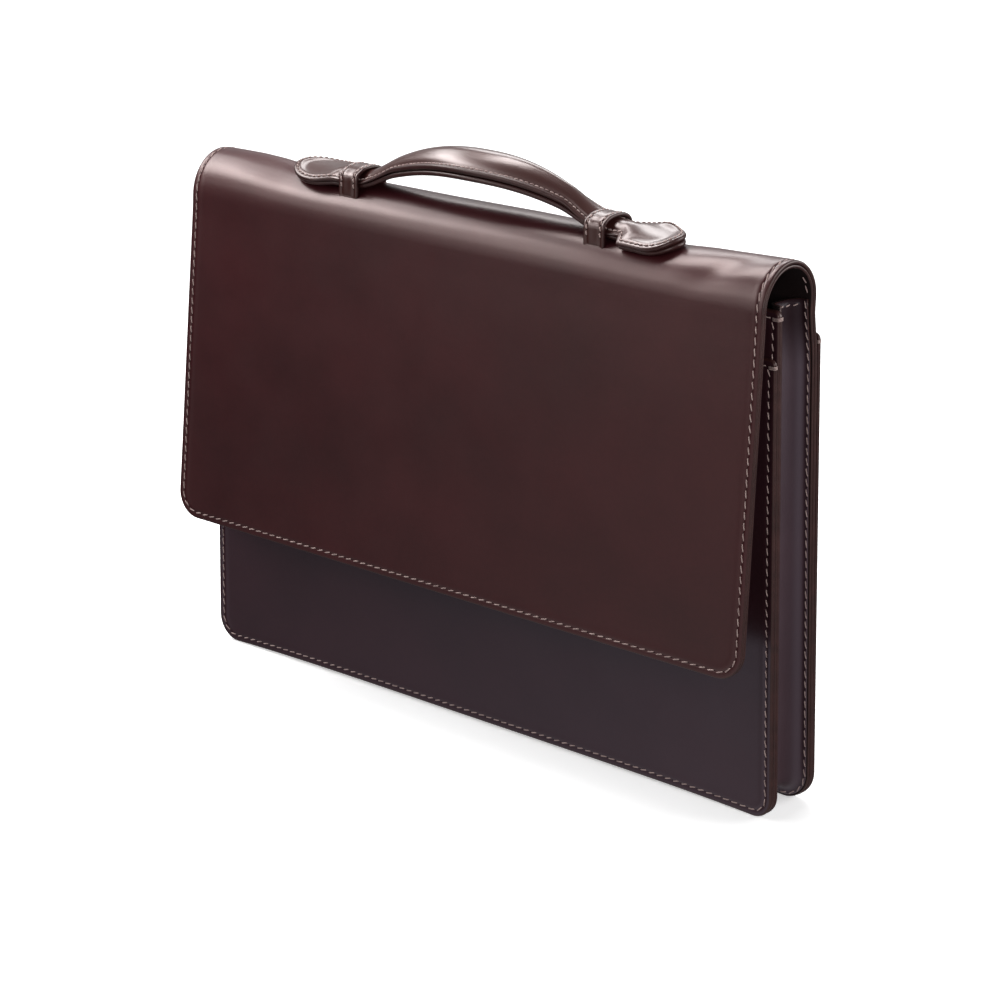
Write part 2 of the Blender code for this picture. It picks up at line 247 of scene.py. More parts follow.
def length_along(points):
    """Distance along a line from its first point to each of its points."""
    return np.concatenate([[0], np.cumsum(np.linalg.norm(np.diff(points, axis=0), axis=1))])


def half_width(z):
    return CASE_HALF - SIDE_LEAN * z


def rounded_outline(corners, spacing=3.0, arc_steps=10):
    """Counter-clockwise outline. Each corner is (u, v, radius); radius 0 keeps one sharp point."""
    points = np.array([corner[:2] for corner in corners], float)
    radii = [corner[2] for corner in corners]
    count = len(points)
    directions = unit(np.roll(points, -1, 0) - points)
    arcs = []
    for i in range(count):
        d1, d2, r = directions[i - 1], directions[i], radii[i]
        turn = math.acos(float(np.clip(d1 @ d2, -1, 1)))
        reach = r * math.tan(turn / 2)
        start, end = points[i] - d1 * reach, points[i] + d2 * reach
        centre = start + r * np.array([-d1[1], d1[0]])
        x, y = start - centre
        arc = [start]
        for k in range(1, arc_steps if r > 0 else 1):
            c, s = math.cos(turn * k / arc_steps), math.sin(turn * k / arc_steps)
            arc.append(centre + np.array([x * c - y * s, x * s + y * c]))
        arcs.append(arc + [end] if r > 0 else arc)
    out = []
    for arc, following in zip(arcs, arcs[1:] + arcs[:1]):
        out.extend(arc)
        side = following[0] - arc[-1]
        steps = max(1, round(float(np.linalg.norm(side)) / spacing))
        out.extend(arc[-1] + side * k / steps for k in range(1, steps))
    return np.array(out)


def pulled_in(outline, inset):
    """Every point of a closed outline moved inwards by inset."""
    d1 = unit(outline - np.roll(outline, 1, 0))
    d2 = unit(np.roll(outline, -1, 0) - outline)
    n1 = np.stack([-d1[:, 1], d1[:, 0]], 1)
    n2 = np.stack([-d2[:, 1], d2[:, 0]], 1)
    return outline + inset * (n1 + n2) / (1 + np.sum(n1 * n2, 1, keepdims=True))


def edge_distance(points, outline):
    """Distance of each point from the nearest side of the outline."""
    a = outline
    ab = np.roll(outline, -1, 0) - a
    squared = np.sum(ab * ab, 1)
    result = np.empty(len(points))
    for first in range(0, len(points), 1000):
        part = points[first : first + 1000, None] - a[None]
        t = np.clip(np.sum(part * ab, 2) / squared, 0, 1)
        gap = part - t[..., None] * ab
        result[first : first + 1000] = np.sqrt(np.min(np.sum(gap * gap, 2), 1))
    return result


def is_inside(points, outline):
    a, b = outline, np.roll(outline, -1, 0)
    x, y = points[:, 0, None], points[:, 1, None]
    crosses = (a[:, 1] > y) != (b[:, 1] > y)
    height = np.where(b[:, 1] == a[:, 1], 1.0, b[:, 1] - a[:, 1])
    at = a[:, 0] + (y - a[:, 1]) / height * (b[:, 0] - a[:, 0])
    return np.sum(crosses & (x < at), 1) % 2 == 1


def inset_path(outline, inset):
    """The outline pulled in, without the points that would cross over in tight corners."""
    path = pulled_in(outline, inset)
    return path[edge_distance(path, outline) > inset - 0.04]


def flat_mesh(outline, insets, columns, rows, seam=None):
    """Flat points and triangles of a sheet: rings along the edge and a lattice inside."""
    sets = [outline]
    for inset in insets:
        sets.append(inset_path(outline, inset))
    lattice = np.array([(u, v) for v in rows for u in columns])
    lattice = lattice[is_inside(lattice, outline)]
    clear = insets[-1] + 0.6 * min(np.diff(columns).min(), np.diff(rows).min())
    sets.append(lattice[edge_distance(lattice, outline) > clear])
    points = np.concatenate(sets)
    edges = [(i, (i + 1) % len(outline)) for i in range(len(outline))]
    if seam is not None:
        on_seam = np.where(np.abs(points[:, 1] - seam) < 1e-6)[0]
        on_seam = on_seam[np.argsort(points[on_seam, 0])]
        edges += [(int(p), int(q)) for p, q in zip(on_seam[:-1], on_seam[1:])]
    flat = [Vector(p) for p in points]
    made = delaunay_2d_cdt(flat, edges, [], 1, 1e-7)
    places = np.array([tuple(p) for p in made[0]])
    return places, [tuple(face) for face in made[2]], len(outline)


# ---- objects
def make_object(name, points, faces, slots, materials, flat=None):
    """A smooth-shaded mesh object from points in millimetres; flat gives its texture places."""
    mesh = bpy.data.meshes.new(name)
    mesh.from_pydata((np.asarray(points) * MM).tolist(), [], faces)
    mesh.polygons.foreach_set("material_index", np.asarray(slots, np.int32))
    mesh.polygons.foreach_set("use_smooth", np.ones(len(faces), bool))
    for material in materials:
        mesh.materials.append(material)
    if flat is not None:
        layer = mesh.uv_layers.new(name="flat")
        index = np.empty(len(mesh.loops), np.int32)
        mesh.loops.foreach_get("vertex_index", index)
        layer.data.foreach_set("uv", (np.asarray(flat)[index] / 100).astype(np.float32).ravel())
    work = bmesh.new()
    work.from_mesh(mesh)
    bmesh.ops.recalc_face_normals(work, faces=work.faces)
    work.to_mesh(mesh)
    work.free()
    mesh.update()
    made = bpy.data.objects.new(name, mesh)
    bpy.context.scene.collection.objects.link(made)
    return made


class Sheet:
    """Leather, lining or board: a flat outline carried into space by place(u, v, depth)."""

    bead_steps = 6
    rim_rings = [0.6, 1.1, 1.6, 2.2]
    groove_rings = (-0.6, -0.3, 0.0, 0.3, 0.6, 1.2, 2.2, 4.0)

    def __init__(self, outline, place, thick, edge=None, bead=EDGE_BEAD, depth=0.0,
                 groove=None, cell=6.0, rows=None, seam=None, columns=None):
        self.outline, self.place = outline, place
        self.thick, self.edge = thick, edge or thick
        self.bead, self.depth, self.groove = bead, depth, groove
        self.seam = seam
        low, high = outline.min(0), outline.max(0)
        if columns is None:
            columns = np.linspace(low[0], high[0], round((high[0] - low[0]) / cell) + 1)
        if rows is None:
            rows = np.linspace(low[1], high[1], round((high[1] - low[1]) / cell) + 1)
        beside = [groove + step for step in self.groove_rings] if groove else [4.0]
        self.flat, self.triangles, self.ring = flat_mesh(
            pulled_in(outline, bead), self.rim_rings + beside, columns, rows, seam)
        self.distance = edge_distance(self.flat, outline)
        self.distance[: self.ring] = bead

    def top_depth(self, distance):
        """A shallow channel for the stitches and a slight swell on both sides of it."""
        if not self.groove:
            return self.depth + 0.0 * distance
        offset = distance - self.groove
        channel = 0.22 * bell(offset, 0, 0.42)
        swell = -0.10 * bell(offset, 1.7, 1.0)
        rim = -0.06 * bell(offset, -1.5, 0.8)
        return self.depth + channel + swell + rim

    def bottom_depth(self, distance):
        """The painted edge is as thick as the whole stack; inside it only the sheet itself."""
        share = smooth_step(distance, 1.1, 1.7)
        return self.depth + self.edge + (self.thick - self.edge) * share

    def bead_line(self, angle):
        """Flat places and points of the rounded edge at one angle from the face round."""
        around = pulled_in(self.outline, self.bead * (1 - math.sin(angle)))
        deep = self.depth + self.edge / 2 * (1 - math.cos(angle))
        return around + [0, deep], self.place(around[:, 0], around[:, 1], deep + 0 * around[:, 0])

    def arrays(self):
        u, v = self.flat.T
        top = self.place(u, v, self.top_depth(self.distance))
        bottom = self.place(u, v, self.bottom_depth(self.distance))
        count = len(self.flat)
        points, flats = [top, bottom], [self.flat, self.flat]
        faces = list(self.triangles)
        faces += [tuple(i + count for i in reversed(face)) for face in self.triangles]
        slots = [0] * len(self.triangles) + [2] * len(self.triangles)
        starts = [0]
        for k in range(1, self.bead_steps):
            flat, line = self.bead_line(math.pi * k / self.bead_steps)
            starts.append(sum(len(p) for p in points))
            flats.append(flat)
            points.append(line)
        starts.append(count)
        for a, b in zip(starts[:-1], starts[1:]):
            for i in range(self.ring):
                j = (i + 1) % self.ring
                faces.append((a + i, b + i, b + j, a + j))
                slots.append(1)
        return np.concatenate(points), np.concatenate(flats), faces, slots

    def build(self, name, materials):
        points, flats, faces, slots = self.arrays()
        return make_object(name, points, faces, slots, materials, flats)

    def build_split(self, names, materials):
        """Two objects that meet at the seam, shaded as one surface."""
        points, flats, faces, slots = self.arrays()
        whole = make_object("whole_sheet", points, faces, slots, materials, flats)
        normals = np.array([n.vector for n in whole.data.vertex_normals])
        oriented = [tuple(p.vertices) for p in whole.data.polygons]
        bpy.data.objects.remove(whole)
        made = []
        middle = np.array([flats[list(face), 1].mean() for face in oriented])
        for name, chosen in zip(names, (middle < self.seam, middle >= self.seam)):
            picked = np.flatnonzero(chosen)
            used = sorted({i for f in picked for i in oriented[f]})
            new = {old: i for i, old in enumerate(used)}
            part = make_object(
                name, points[used], [tuple(new[i] for i in oriented[f]) for f in picked],
                [slots[f] for f in picked], materials, flats[used])
            work = bmesh.new()
            work.from_mesh(part.data)
            rim = [edge for edge in work.edges if edge.is_boundary]
            bmesh.ops.holes_fill(work, edges=rim, sides=0)
            work.to_mesh(part.data)
            work.free()
            part.data.normals_split_custom_set_from_vertices(
                [tuple(n) for n in normals[used]])
            made.append(part)
        return made


def tube_faces(base, stations, sides):
    """Faces of a closed tube; its rings of points follow one another from base."""
    faces = []
    last = base + (stations - 1) * sides
    for a in range(base, last, sides):
        for k in range(sides):
            j = (k + 1) % sides
            faces.append((a + k, a + sides + k, a + sides + j, a + j))
    faces.append(tuple(base + k for k in reversed(range(sides))))
    faces.append(tuple(last + k for k in range(sides)))
    return faces


def stitch_row(name, path, place, deep, closed=False, side=1.0, pitch=PITCH,
               length=STITCH_LENGTH, radius=THREAD_RADIUS):
    """Slanted stitches of thread, each dipping into a hole at both ends."""
    loop = np.concatenate([path, path[:1]]) if closed else path
    run = length_along(place(loop[:, 0], loop[:, 1], deep + 0 * loop[:, 0]))
    count = max(1, round(run[-1] / pitch))
    middles = (np.arange(count) + 0.5) * run[-1] / count

    def at(distance, depth):
        distance = np.mod(distance, run[-1]) if closed else np.clip(distance, 0, run[-1])
        u = np.interp(distance, run, loop[:, 0])
        v = np.interp(distance, run, loop[:, 1])
        return place(u, v, depth + 0 * u), np.stack([u, v], 1)

    centre, flat = at(middles, deep)
    along = unit(at(middles + 0.8, deep)[0] - at(middles - 0.8, deep)[0])
    outward = unit(at(middles, deep - 0.5)[0] - centre) * side
    across = np.cross(outward, along)
    wobble = np.sin(np.arange(count) * 12.9898) * 0.35
    slant = STITCH_SLANT * (1 + wobble)[:, None]
    direction = along * np.cos(slant) + across * np.sin(slant)
    sideways = np.cross(outward, direction)
    reach = length * (1 + 0.05 * np.cos(np.arange(count) * 7.31))[:, None]
    stations = np.linspace(-1, 1, 9)
    sides = 7
    thickness = radius * np.sqrt(np.maximum(0.12, 1 - np.abs(stations) ** 5))
    heights = radius * 0.55 - 0.55 * np.abs(stations) ** 5
    points, flats, faces = [], [], []
    for s, station in enumerate(stations):
        for k in range(sides):
            angle = 2 * math.pi * k / sides
            points.append(centre + (
                direction * (station * reach / 2)
                + sideways * (thickness[s] * math.cos(angle))
                + outward * (heights[s] + thickness[s] * 0.85 * math.sin(angle))))
            flats.append(flat + [station * length / 2, angle])
    for n in range(count):
        faces += tube_faces(n * len(points), len(stations), sides)
    slots = [0] * len(faces)
    points = np.stack(points, 1).reshape(-1, 3)

    # A small dark disc where the thread goes in: painted shade of the needle hole.
    holes = at(middles - reach[:, 0] * 0.53, deep)[0]
    rim = 8
    for base in range(len(points), len(points) + count * (rim + 1), rim + 1):
        faces += [(base + k, base + (k + 1) % rim, base + rim) for k in range(rim)]
    slots += [1] * (count * rim)
    ring = [holes + along * 0.48 * math.cos(t) + across * 0.42 * math.sin(t) - outward * 0.03
            for t in np.arange(rim) * 2 * math.pi / rim]
    ring.append(holes + outward * 0.05)
    points = np.concatenate([points, np.stack(ring, 1).reshape(-1, 3)])
    flats = np.concatenate([np.stack(flats, 1).reshape(-1, 2), np.repeat(flat, rim + 1, 0)])
    return make_object(name, points, faces, slots, (THREAD, NEEDLE_HOLE_SHADE), flats)


# ---- materials
def linear(value):
    value = value / 255
    return value / 12.92 if value <= 0.04045 else ((value + 0.055) / 1.055) ** 2.4


def colour(r, g, b):
    return (linear(r), linear(g), linear(b), 1.0)


def add_node(tree, kind, inputs=None, **settings):
    """A new shader node. Each input gets a value or the output of another node."""
    node = tree.nodes.new("ShaderNode" + kind)
    for name, value in settings.items():
        setattr(node, name, value)
    for name, value in (inputs or {}).items():
        if isinstance(value, bpy.types.NodeSocket):
            tree.links.new(value, node.inputs[name])
        else:
            node.inputs[name].default_value = value
    return node


def fade(tree, value, start, end, low, high):
    """A grey that goes smoothly from low to high while value goes from start to end."""
    inputs = {"Value": value, "From Min": start, "From Max": end, "To Min": low, "To Max": high}
    return add_node(tree, "MapRange", inputs, interpolation_type="SMOOTHSTEP").outputs["Result"]


def split_place(tree):
    """The x, y and z of the place on the whole piece, or of the direction seen."""
    place = add_node(tree, "TexCoord").outputs["Generated"]
    return add_node(tree, "SeparateXYZ", {"Vector": place}).outputs


class Look:
    """A procedural material on the flat places of the sheets."""

    def __init__(self, name, flat=True):
        self.material = bpy.data.materials.new(name)
        self.material.use_nodes = True
        self.tree = self.material.node_tree
        self.shader = self.tree.nodes["Principled BSDF"]
        self.coordinate = add_node(self.tree, "TexCoord").outputs["UV" if flat else "Object"]

    def set(self, **values):
        for name, value in values.items():
            self.shader.inputs[name.replace("_", " ")].default_value = value

    def texture(self, kind, output, inputs, vector=None, **settings):
        inputs = {"Vector": vector or self.coordinate, **inputs}
        return add_node(self.tree, kind, inputs, **settings).outputs[output]

    def stretched(self, x, y):
        return self.texture("Mapping", "Vector", {"Scale": (x, y, 1.0)})

    def noise(self, scale, detail=3.0, roughness=0.5, vector=None):
        return self.texture("TexNoise", "Fac", {
            "Scale": scale, "Detail": detail, "Roughness": roughness}, vector)

    def waves(self, scale, distortion, direction, vector=None):
        return self.texture("TexWave", "Fac", {"Scale": scale, "Distortion": distortion}, vector,
                            bands_direction=direction)

    def ramp(self, factor, *stops):
        """stops are two of (place, colour or grey)."""
        node = add_node(self.tree, "ValToRGB", {"Fac": factor})
        for element, (place, value) in zip(node.color_ramp.elements, stops):
            element.position = place
            element.color = value if hasattr(value, "__len__") else (value, value, value, 1.0)
        return node.outputs["Color"]

    def paint(self, factor, *stops, socket="Base Color"):
        self.tree.links.new(self.ramp(factor, *stops), self.shader.inputs[socket])

    def multiplied(self, a, b, share):
        return add_node(self.tree, "Mix", {"Factor": share, "A": a, "B": b},
                        data_type="RGBA", blend_type="MULTIPLY").outputs["Result"]

    def added(self, a, b, share):
        return add_node(self.tree, "Math", {0: b, 1: share, 2: a},
                        operation="MULTIPLY_ADD").outputs["Value"]

    def bump(self, height, distance):
        node = add_node(self.tree, "Bump", {
            "Distance": distance * MM, "Strength": 1.0, "Height": height})
        self.tree.links.new(node.outputs["Normal"], self.shader.inputs["Normal"])

    def paint_shade_at_top(self, start, end):
        """Painted shade: lets tone and shine fall away towards the top of the piece, standing in
        for the shadow that falls there.
        """
        height = split_place(self.tree)["Z"]
        base = self.shader.inputs["Base Color"]
        tone = fade(self.tree, height, start, end, 1.0, 0.5)
        shine = fade(self.tree, height, start, end, 0.55, 0.1)
        self.tree.links.new(self.multiplied(base.links[0].from_socket, tone, 1.0), base)
        self.tree.links.new(shine, self.shader.inputs["Specular IOR Level"])


def leather_look(name, dark, light, rough=(0.29, 0.36), tint=COOL_FLOOR_REFLECTION, grain=0.02, coat=0.08,
                 painted_top_shade=None):
    """Smooth, polished hide: slow drifts of tone, fine pores and hair lines."""
    look = Look(name)
    tone = look.added(look.noise(1.1, 4.0, 0.55), look.noise(38.0, 3.0, 0.6), 0.22)
    look.paint(tone, (0.38, dark), (0.82, light))
    sheen = look.noise(3.2, 5.0, 0.65)
    look.paint(sheen, (0.3, rough[0]), (0.75, rough[1]), socket="Roughness")
    pores = look.texture("TexVoronoi", "Distance", {"Scale": 150.0}, feature="F1")
    look.bump(look.added(look.noise(60.0, 4.0, 0.6), pores, 0.5), grain)
    look.set(Specular_IOR_Level=0.55, Specular_Tint=tint, Coat_Weight=coat, Coat_Roughness=0.2)
    if painted_top_shade:
        look.paint_shade_at_top(*painted_top_shade)
    return look.material


def edge_look(name):
    """Burnished edge paint with faint brush marks along it."""
    look = Look(name)
    marks = look.noise(14.0, 4.0, 0.6)
    look.paint(marks, (0.3, colour(44, 24, 24)), (0.75, colour(60, 33, 32)))
    look.paint(marks, (0.3, 0.3), (0.8, 0.4), socket="Roughness")
    look.bump(look.noise(45.0, 3.0, 0.5), 0.04)
    look.set(Specular_IOR_Level=0.35, Specular_Tint=(1.0, 0.86, 0.82, 1.0))
    return look.material


def thread_look(name):
    """Twisted, waxed thread."""
    look = Look(name)
    twist = look.waves(14.0, 1.5, "DIAGONAL", look.stretched(1.0, 0.9))
    fibre = look.ramp(look.noise(22.0, 2.0, 0.5),
                      (0.3, colour(160, 134, 130)), (0.75, colour(206, 180, 174)))
    # Painted shade: the thread is darkened in the grooves between its twisted plies.
    shade = look.ramp(twist, (0.0, 0.62), (0.55, 1.0))
    look.tree.links.new(look.multiplied(fibre, shade, 0.8), look.shader.inputs["Base Color"])
    look.bump(twist, 0.08)
    look.set(Roughness=0.6, Specular_IOR_Level=0.35, Sheen_Weight=0.2)
    return look.material


def lining_look(name, dark, light):
    """Fine woven lining."""
    look = Look(name)
    weave = look.added(look.waves(85.0, 0.6, "X"), look.waves(85.0, 0.6, "Y"), 1.0)
    shade = look.added(look.noise(2.0, 3.0, 0.5), weave, 0.12)
    look.paint(shade, (0.35, dark), (0.85, light))
    look.bump(weave, 0.05)
    look.set(Roughness=0.9, Specular_IOR_Level=0.12)
    return look.material


def grained_look(name, noise, dark, light, relief=None, stretch=None, shine=None, flat=True,
                 **settings):
    """A plain material: one grain gives it its tone, its relief and its shine."""
    look = Look(name, flat)
    grain = look.noise(*noise, look.stretched(*stretch) if stretch else None)
    look.paint(grain, (0.3, dark), (0.7, light))
    if shine:
        look.paint(grain, (0.3, shine[0]), (0.7, shine[1]), socket="Roughness")
    if relief:
        look.bump(grain, relief)
    look.set(**settings)
    return look.material


# Body and flap are one leather in two copies: painted shade makes the body darker and cooler,
# painted light makes the flap brighter and redder.
BODY_SHADED_LEATHER = leather_look("body_leather", colour(43, 22, 26), colour(54, 29, 34))
FLAP_LIT_LEATHER = leather_look("flap_leather", colour(44, 15, 19), colour(62, 23, 27), tint=WARM)
HANDLE = leather_look("handle_leather", colour(52, 26, 24), colour(64, 34, 31), (0.27, 0.30),
                      tint=WARM, grain=0.005, coat=0.4)
# The gusset is darkened in tone and shine towards its top: painted shade from the arch above it.
GUSSET = leather_look("gusset_leather", colour(48, 30, 34), colour(58, 37, 42), (0.42, 0.52),
                      painted_top_shade=(0.86, 0.97))
FLESH = grained_look("leather_flesh_side", (90.0, 6.0, 0.7), colour(52, 34, 30),
                     colour(74, 52, 46), 0.12, Roughness=0.9, Specular_IOR_Level=0.2)
EDGE = edge_look("edge_paint")
THREAD = thread_look("thread")
# Dark discs at the needle holes: painted shade inside the holes.
NEEDLE_HOLE_SHADE = grained_look("needle_hole_shade", (50.0, 3.0, 0.5), colour(22, 12, 12), colour(34, 20, 19),
                    Roughness=0.8, Specular_IOR_Level=0.2)
CLOTH = lining_look("lining_cloth", colour(20, 13, 13), colour(32, 22, 22))
PRESSED = grained_look("fibre_board", (30.0, 8.0, 0.75), colour(92, 84, 74),
                       colour(134, 124, 110), 0.08, stretch=(1.0, 3.0), Roughness=0.85)
STEEL = grained_look("nickel_plate", (900.0, 4.0, 0.6), colour(168, 168, 166),
                     colour(205, 204, 200), 0.02, stretch=(1.0, 0.1), shine=(0.22, 0.38),
                     flat=False, Metallic=1.0)
CORE = grained_look("felt_core", (700.0, 7.0, 0.75), colour(120, 110, 98),
                    colour(158, 148, 134), 0.2, flat=False, Roughness=0.95)
FLOOR = grained_look("studio_floor", (4.0, 3.0, 0.5), 0.90, 0.92, flat=False, Roughness=0.6,
                     Specular_IOR_Level=0.2, Emission_Color=(1, 1, 1, 1), Emission_Strength=0.45)
OUTSIDE = (EDGE, FLESH)


# ---- the case
def ground_lift(u, v):
    """The case stands on its corners; its bottom edge rises a little between them."""
    along = 1 - np.clip(np.abs(u) / LIFT_HALF, 0, 1) ** 5
    return GROUND_LIFT * along * (1 - smooth_step(v, 0.0, LIFT_HEIGHT))


def panel_corners(top, tuck, radii):
    low, high = half_width(0) - tuck, half_width(top) - tuck
    return [(-low, 0, radii[0]), (low, 0, radii[1]),
            (high, top, TOP_CORNER_RADIUS), (-high, top, TOP_CORNER_RADIUS)]


def shrunk(corners, margin):
    """The corners of the same panel with an equal margin cut off all round."""
    inner = pulled_in(np.array([c[:2] for c in corners], float), margin)
    return [(p[0], p[1], max(c[2] - margin, 1.0) if c[2] else 0) for p, c in zip(inner, corners)]


def panel_place(face_y, inwards):
    """An upright panel of the case: depth runs from its outer face towards the inside."""
    def place(u, v, depth):
        return np.stack([u, face_y + inwards * depth, v + ground_lift(u, v)], 1)
    return place


def ride_with(obj, body, slot, *nodes):
    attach(obj, body)
    if nodes:
        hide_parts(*nodes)
    return obj


def bar_tack(name, place, edge, top, side, stack):
    """Close stitches wrapped over the edge at the top corner of a panel."""
    radius, sides, rounds, first, spacing = 0.22, 6, 3, 3.2, 0.55
    # One round: distance from the edge, and depth.
    line = np.array([(3.4, 0.3), (3.2, -0.1), (0.7, -0.12), (0.05, 0.3),
                     (-0.12, stack / 2), (0.05, stack - 0.3), (0.7, stack + 0.1)])
    u = side * (edge - line[:, 0])
    up = np.array([0.0, 0.0, 1.0])
    points, flats, faces = [], [], []
    for n in range(rounds):
        v = top - first - n * spacing
        centre = place(u, np.full(len(u), v), line[:, 1])
        faces += tube_faces(len(points), len(line), sides)
        for c, out, place_u in zip(centre, np.cross(unit(np.gradient(centre, axis=0)), up), u):
            for k in range(sides):
                angle = 2 * math.pi * k / sides
                points.append(c + radius * (math.cos(angle) * up + math.sin(angle) * out))
                flats.append((place_u, v + angle / sides))
    made = make_object(name, points, faces, [0] * len(faces), (THREAD,), flats)
    ride_with(made, "case", "thread")


def build_panel(name, place, top, stack, lining_depth, lining_cut, tuck=FRONT_TUCK,
                radii=FRONT_CORNER_RADII):
    """One upright panel with its stitches, its lining and the tacks at its top corners."""
    corners = panel_corners(top, tuck, radii)
    outline = rounded_outline(corners)
    path = inset_path(outline, STITCH_INSET)
    hide = Sheet(outline, place, LEATHER, edge=stack, groove=STITCH_INSET)
    ride_with(hide.build(name, (BODY_SHADED_LEATHER, *OUTSIDE)), "case", "body_leather", name + "_leather")
    ride_with(stitch_row(name + "_stitches", path, place, STITCH_DEPTH, True), "case", "thread")
    cut = rounded_outline(shrunk(corners, lining_cut))
    cloth = Sheet(cut, place, LINING, depth=lining_depth, bead=LINING_BEAD, cell=12)
    lined = ride_with(cloth.build(name + "_cloth", (CLOTH,) * 3), "case", "lining",
                      name + "_lining")
    for word, side in (("left", -1), ("right", 1)):
        bar_tack(name + "_tack_" + word, place, half_width(top) - tuck, top, side, stack)
    return corners, path


def build_case_panels():
    """Front panel, the slip pocket in front of it and the pocket at the back."""
    build_panel("front_pocket", panel_place(POCKET_LOW[1], 1), POCKET_TOP, POCKET_STACK,
                POCKET_LINING_DEPTH, FRONT_LINING_CUT)
    place = panel_place(FRONT_LOW[1], 1)
    corners, path = build_panel("front_panel", place, FRONT_TOP, PANEL_STACK,
                                PANEL_LINING_DEPTH, FRONT_LINING_CUT)
    board = Sheet(rounded_outline(shrunk(corners, BOARD_MARGIN)), place, BOARD,
                  depth=BOARD_DEPTH, bead=LINING_BEAD, cell=20)
    ride_with(board.build("front_panel_stiffener", (PRESSED,) * 3), "case", "board",
              "front_panel_board")
    ride_with(stitch_row("front_panel_inner_stitches", path, place, PANEL_STACK, True, -1.0),
              "case", "thread")
    build_panel("rear_pocket", panel_place(REAR_HIGH[1], -1), REAR_TOP, REAR_EDGE,
                POCKET_LINING_DEPTH, REAR_LINING_CUT, 0.0, (CORNER_RADIUS, CORNER_RADIUS))


def back_pull(u, v):
    """How far back the sewn edge of the back panel sits from its middle plane.

    Below the top of the rear pocket the whole back is drawn together at its sewn edges.
    """
    side = 1 - smooth_step(half_width(v) - np.abs(u), 5.0, 26.0)
    bottom = 1 - smooth_step(v, 5.0, 26.0)
    edge = 1 - (1 - side) * (1 - bottom)
    drop = 1 - smooth_step(v, REAR_TOP - 12, REAR_TOP + 14)
    return edge * drop * (2.0 + 0.7 * (1 - smooth_step(v, 0, 150)))


# ---- the big sheet
def sheet_profile():
    """Line of the sheet's outer face: place, y, z and the outward direction."""
    step = 0.25
    places = np.arange(0.0, SHEET_END + 40.0, step)
    # Heading: straight up the back, then turning towards the front and down.
    turn = np.clip((places - ARCH_START) / ARCH_RADIUS, 0, math.pi)
    lean = FLAP_LEAN * smooth_step(places, ARCH_END - 12, ARCH_END + 12)
    dy, dz = -np.sin(turn - lean), np.cos(turn - lean)
    y = BRIDGE_HIGH[1] + np.concatenate([[0], np.cumsum((dy[1:] + dy[:-1]) / 2 * step)])
    z = np.concatenate([[0], np.cumsum((dz[1:] + dz[:-1]) / 2 * step)])
    return places, y, z, dz, -dy


PROFILE = sheet_profile()

# How far the top of the arch stands above or below its true circle, along the case.
RISE_X = (-176, -164, -150, -136, -118, -95, -60, -20, 30, 80, 118, 142, 158, 168, 176)
RISE = (1.5, 2.0, 2.1, 1.6, 0.2, -0.5, -1.0, -1.0, -0.4, -0.6, -1.3, -0.9, -0.2, 0.25, 0.2)
# Hollows near the top of the arch: u, v from the top, length, width, tilt, depth.
DENTS = ((-136, 6, 22, 6.5, 0.10, 0.9), (148, 14, 16, 6.0, -0.6, 0.8),
         (-95.0, -1, 20, 14, 0.0, 1.1), (104.0, -1, 20, 14, 0.0, 1.9))


def sheet_warp(u, v):
    """Outward swell of the big sheet: sag between its stiff ends and a few soft dents."""
    turn = (v - ARCH_START) / ARCH_RADIUS
    warp = np.interp(u, RISE_X, RISE) * bell(turn, math.pi / 2, 0.95)
    front = smooth_step(v, ARCH_END - 30, ARCH_END + 30)
    swell = 0.55 * np.sin((u + 40) / 85.0) + 0.1
    warp = warp + front * swell * smooth_step(v, ARCH_END, SHEET_END)
    top = ARCH_START + math.pi / 2 * ARCH_RADIUS
    for at_u, at_v, long, wide, tilt, deep in DENTS:
        c, s = math.cos(tilt), math.sin(tilt)
        du, dv = u - at_u, v - (top + at_v)
        a, b = (du * c + dv * s) / long, (-du * s + dv * c) / wide
        warp = warp + -deep * np.exp(-(a * a) - b * b)
    return warp


def sheet_place(u, v, depth):
    places, y, z, out_y, out_z = PROFILE
    oy, oz = np.interp(v, places, out_y), np.interp(v, places, out_z)
    shift = sheet_warp(u, v) - depth
    py = np.interp(v, places, y) + oy * shift
    pz = np.interp(v, places, z) + oz * shift
    return np.stack([u, py + back_pull(u, v), pz + ground_lift(u, v)], 1)


def sheet_corners():
    base = half_width(0)
    low, waist = half_width(BACK_AXIS_Z), half_width(ARCH_Z) + FLAP_OVERHANG
    end = half_width(FLAP_LOW[2]) + FLAP_OVERHANG
    right = [(base, 0, CORNER_RADIUS), (low, BACK_AXIS_Z, 0), (waist, ARCH_START + 8, 0),
             (waist, SEAM_PLACE, 0), (waist, ARCH_END, 0), (end, SHEET_END, FLAP_CORNER_RADIUS)]
    return [(-base, 0, CORNER_RADIUS)] + right + [(-u, v, r) for u, v, r in right[:0:-1]]


def sheet_rows(coarse):
    back = np.linspace(0, ARCH_START, round(ARCH_START / coarse))
    first = np.linspace(ARCH_START, SEAM_PLACE, 8)[1:]
    second = np.linspace(SEAM_PLACE, ARCH_END, 22)[1:]
    front = np.linspace(ARCH_END, SHEET_END, round(FLAP_LENGTH / coarse))[1:]
    return np.concatenate([back, first, second, front])


def blend_back(obj, slot, *nodes):
    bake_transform(obj)
    if nodes:
        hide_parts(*nodes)


def blend_front(obj, slot, *nodes):
    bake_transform(obj)
    if nodes:
        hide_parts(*nodes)


def below_seam(path):
    return path[:, 1] < SEAM_PLACE


def above_seam(path):
    return path[:, 1] > SEAM_PLACE


def cut_path(path, keep):
    """The stretch of a closed path where keep is true, in order and in one piece."""
    flags = keep(path)
    start = next(i for i in range(len(path)) if flags[i] and not flags[i - 1])
    order = [(start + k) % len(path) for k in range(len(path))]
    stretch = []
    for i in order:
        if not flags[i]:
            break
        stretch.append(path[i])
    return np.array(stretch)


